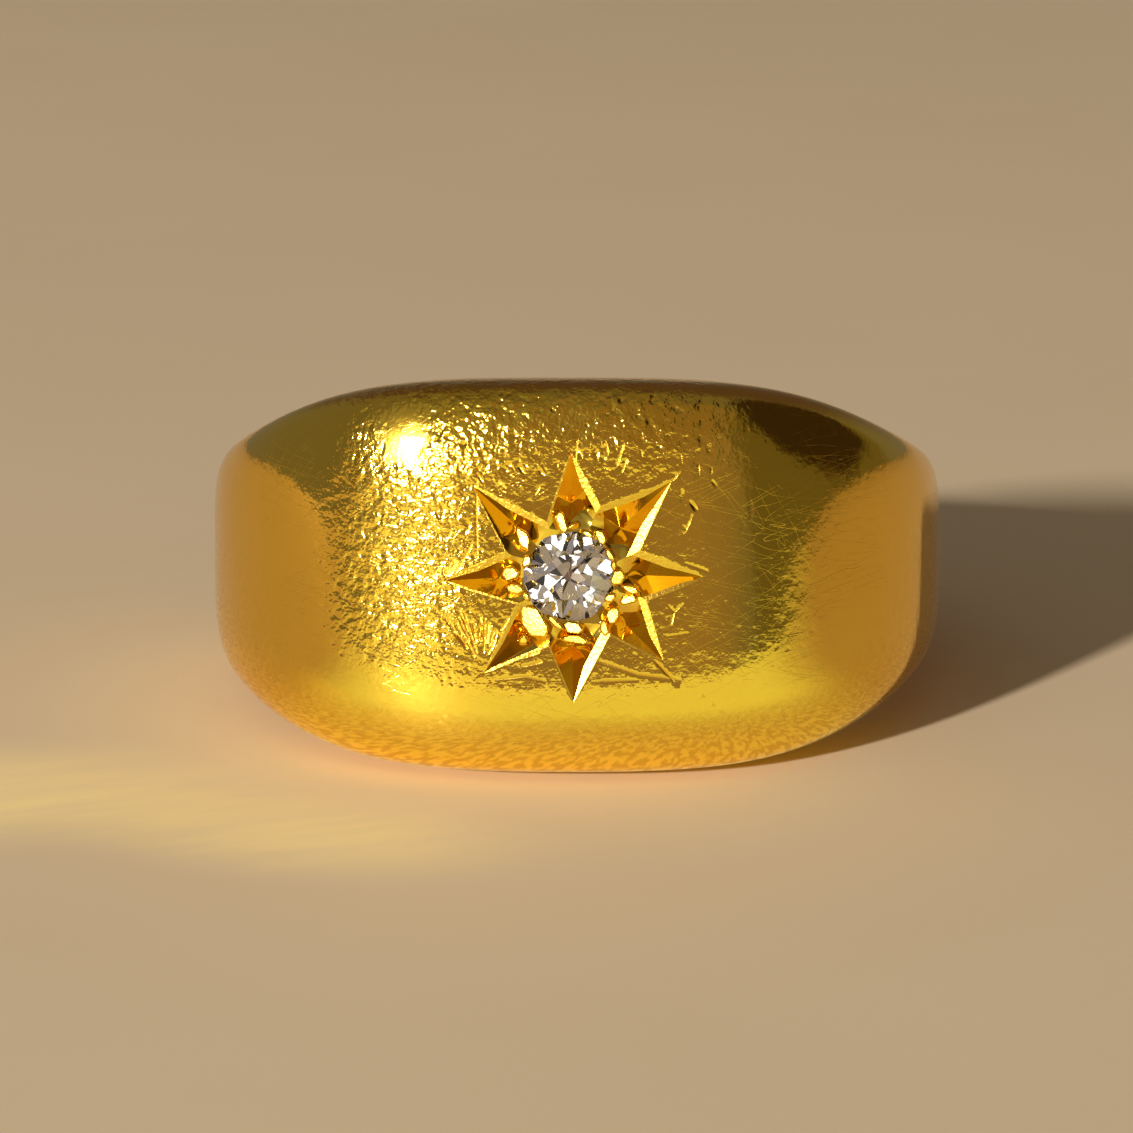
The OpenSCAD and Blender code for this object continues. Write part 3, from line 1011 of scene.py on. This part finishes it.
# Floor
# A plain pale sheet with a soft sheen under the ring. Painted pools of light glow on it where the
# ring's side would throw them. In the gold's mirror image it glows with a painted sheen towards the low
# light and shows a fine grain.
floor_half = 1.0
pale_tones = (0.88, 0.72, 0.535, 1), (0.82, 0.66, 0.475, 1)
grain_tone, painted_sheen_tones = (0.46, 0.27, 0.12, 1), ((0.03, 0.02, 0.01, 1), (0.50, 0.66, 0.23, 1))
painted_pool_tone, black = (0.23, 0.155, 0.0, 1), (0, 0, 0, 1)
floor_mesh = bpy.data.meshes.new("floor")
floor_corners = [(x * floor_half, y * floor_half, 0) for x, y in ((-1, -1), (1, -1), (1, 1), (-1, 1))]
floor_mesh.from_pydata(floor_corners, [], [(0, 1, 2, 3)])
floor = bpy.data.objects.new("floor", floor_mesh)
bpy.context.scene.collection.objects.link(floor)
pale = bpy.data.materials.new("pale_floor")
pale.use_nodes = True
sheet = pale.node_tree
pale_shader = sheet.nodes["Principled BSDF"]
pale_shader.inputs["Specular IOR Level"].default_value = 0.07
where = sheet.nodes.new("ShaderNodeTexCoord").outputs["Object"]
mottle = noise(sheet, where, 60, 4)
sheet.links.new(ramp(sheet, mottle, 0.2, 0.8, 0.68, 0.76), pale_shader.inputs["Roughness"])
tone = blend(sheet, mottle, *pale_tones)

light_path = sheet.nodes.new("ShaderNodeLightPath").outputs
in_reflection = node(sheet, "ShaderNodeMath", {
    0: light_path["Is Glossy Ray"], 1: light_path["Is Transmission Ray"]},
    operation="SUBTRACT", use_clamp=True).outputs[0]
# Only in reflections, a fine grain darkens the floor's colour and breaks up the painted sheen.
sheet_grain = noise(sheet, stretched(sheet, where, (0.00022, 0.00060, 1), (0, 0, 25)), 1, 1)
sheet_grain = ramp(sheet, sheet_grain, 0.40, 0.60)
darker = maths(sheet, "MULTIPLY", sheet_grain, in_reflection, 0.45)
sheet.links.new(blend(sheet, darker, tone, grain_tone), pale_shader.inputs["Base Color"])

# Painted sheen: only in reflections the floor glows, brightest in front towards the low light.
to_the_light = (0.03, -1.0, 0)
ahead = vector(sheet, "DOT_PRODUCT", vector(sheet, "NORMALIZE", where), to_the_light, "Value")
far_out = vector(sheet, "LENGTH", where, out="Value")
painted_sheen = maths(sheet, "MULTIPLY", ramp(sheet, ahead, 0.35, 0.80),
              ramp(sheet, far_out, 0.013, 0.026, 0.25, 1), ramp(sheet, sheet_grain, 0, 1, 1, 0.6))
painted_sheen = blend(sheet, painted_sheen, *painted_sheen_tones)
painted_sheen = blend(sheet, in_reflection, black, painted_sheen)


def painted_pool(middle, size, turn):
    """A painted pool of light where the ring's side would throw one: its middle and half its size in
    metres.
    """
    at_pool = stretched(sheet, where, (*size, 1), (0, 0, turn), (*middle, 0))
    return ramp(sheet, vector(sheet, "LENGTH", at_pool, out="Value"), 1.0, 0.1)


# Painted pools of light beside the ring, streaked, and fainter in reflections.
painted_pools = maths(sheet, "ADD", painted_pool((-0.0175, -0.0115), (0.0125, 0.0060), 3),
              maths(sheet, "MULTIPLY", painted_pool((-0.0070, -0.0148), (0.0080, 0.0046), -14), 0.75))
streaks = noise(sheet, stretched(sheet, where, (0.0040, 0.0008, 1), (0, 0, 24)), 1, 2)
painted_pools = maths(sheet, "MULTIPLY", painted_pools, ramp(sheet, streaks, 0.3, 0.7, 0.7, 1),
              ramp(sheet, in_reflection, 0, 1, 1, 0.45))
painted_pools = blend(sheet, painted_pools, black, painted_pool_tone)
# The painted sheen and painted pools reach the floor as emission, so it glows though it is no lamp.
both = blend(sheet, 1.0, painted_sheen, painted_pools, blend_type="ADD")
sheet.links.new(both, pale_shader.inputs["Emission Color"])
pale_shader.inputs["Emission Strength"].default_value = 1
pale.cycles.emission_sampling = "NONE"
floor.data.materials.append(pale)


# Light
# One low warm lamp in front on the left, in a dim room whose soft patches the gold mirrors:
# brighter in front, darkest on the right. The stone sees the room as small bright cells.
def towards(turn, up):
    """The direction that far round from the front, to the right, and that far up, in degrees."""
    turn, up = math.radians(turn), math.radians(up)
    return Vector((math.sin(turn) * math.cos(up), -math.cos(turn) * math.cos(up), math.sin(up)))


world = bpy.data.worlds.new("room")
bpy.context.scene.world = world
world.use_nodes = True
room = world.node_tree
facing = room.nodes.new("ShaderNodeTexCoord").outputs["Generated"]
waver = node(room, "ShaderNodeTexNoise", {"Vector": facing, "Scale": 2.2, "Detail": 3}).outputs["Color"]
waver = vector(room, "SUBTRACT", waver, (0.5, 0.5, 0.5))
uneven = vector(room, "ADD", scaled(room, waver, 0.25), facing)


def lit(so_far, turn, up, inner, outer, colour):
    """Adds a soft patch of another colour to the room, full within the angle inner."""
    near = vector(room, "DOT_PRODUCT", uneven, towards(turn, up), "Value")
    share = ramp(room, near, math.cos(math.radians(outer)), math.cos(math.radians(inner)))
    return blend(room, share, so_far, (*colour, 1))


walls = (0.165, 0.155, 0.12, 1)
for patch in ((6, 14, 20, 42, (0.31, 0.225, 0.145)),
              (22, 46, 16, 32, (0.25, 0.18, 0.10)),
              (-36, 22, 4, 26, (0.36, 0.36, 0.32)),
              (-32, 46, 8, 26, (0.30, 0.30, 0.22)),
              (170, 45, 15, 50, (0.09, 0.06, 0.06)),
              (86, 14, 38, 46, (0.13, 0.11, 0.05)),
              (92, 31, 27, 34, (0.035, 0.022, 0.012))):
    walls = lit(walls, *patch)
cell = node(room, "ShaderNodeTexVoronoi", {"Vector": facing, "Scale": 13.0}).outputs["Color"]
dark_cell, grey_cell = (0.05, 0.038, 0.038, 1), (0.42, 0.345, 0.33, 1)
bright_cell = (3.0, 2.85, 2.55, 1)
cells = blend(room, ramp(room, cell, 0.32, 0.36), dark_cell, grey_cell)
cells = blend(room, ramp(room, cell, 0.58, 0.61), cells, bright_cell)
in_stone = room.nodes.new("ShaderNodeLightPath").outputs["Is Transmission Ray"]
room.links.new(blend(room, in_stone, walls, cells), room.nodes["Background"].inputs["Color"])

key_far, key_wide, key_towards = 1.2, 0.075, towards(-34, 17)
key_data = bpy.data.lights.new("key", "AREA")
key_data.shape = "DISK"
key_data.size = key_wide
key_data.energy = 19
key_data.color = (1.0, 0.92, 0.78)
key = bpy.data.objects.new("key", key_data)
key.location = key_towards * key_far
key.rotation_mode = "QUATERNION"
key.rotation_quaternion = key_towards.to_track_quat("Z", "Y")
bpy.context.scene.collection.objects.link(key)


# Camera
# At the photograph's angle and distance, turned so that the finger hole's middle falls on
# the same pixel as there.
image_px, px_per_mm, camera_far, sensor_w = 1133, 34.297, 150, 36
camera_turn, camera_up, camera_roll = math.radians(1.8), math.radians(14.67), math.radians(-0.4)
bore_px = Vector((578.0, 547.8))
back = Vector((math.sin(camera_turn) * math.cos(camera_up),
               -math.cos(camera_turn) * math.cos(camera_up), math.sin(camera_up)))
look = back.to_track_quat("Z", "Y").to_matrix().to_4x4()
off_centre = (Vector((image_px, image_px)) / 2 - bore_px) / px_per_mm * MM
camera_data = bpy.data.cameras.new("camera")
camera_data.sensor_width = sensor_w
camera_data.lens = sensor_w * px_per_mm * camera_far / image_px
camera_data.clip_start, camera_data.clip_end = 0.01, 10
camera = bpy.data.objects.new("camera", camera_data)
bore_middle = Vector(finger_hole["pos_m"])
eye = bore_middle + back * camera_far * MM
aim = bore_middle + look.to_3x3() @ Vector((off_centre.x, -off_centre.y, 0))
camera.matrix_world = (Matrix.Translation(eye)
                       @ (eye - aim).to_track_quat("Z", "Y").to_matrix().to_4x4()
                       @ Matrix.Rotation(camera_roll, 4, "Z"))
bpy.context.scene.collection.objects.link(camera)
bpy.context.scene.camera = camera
bpy.context.scene.view_settings.view_transform = "Standard"
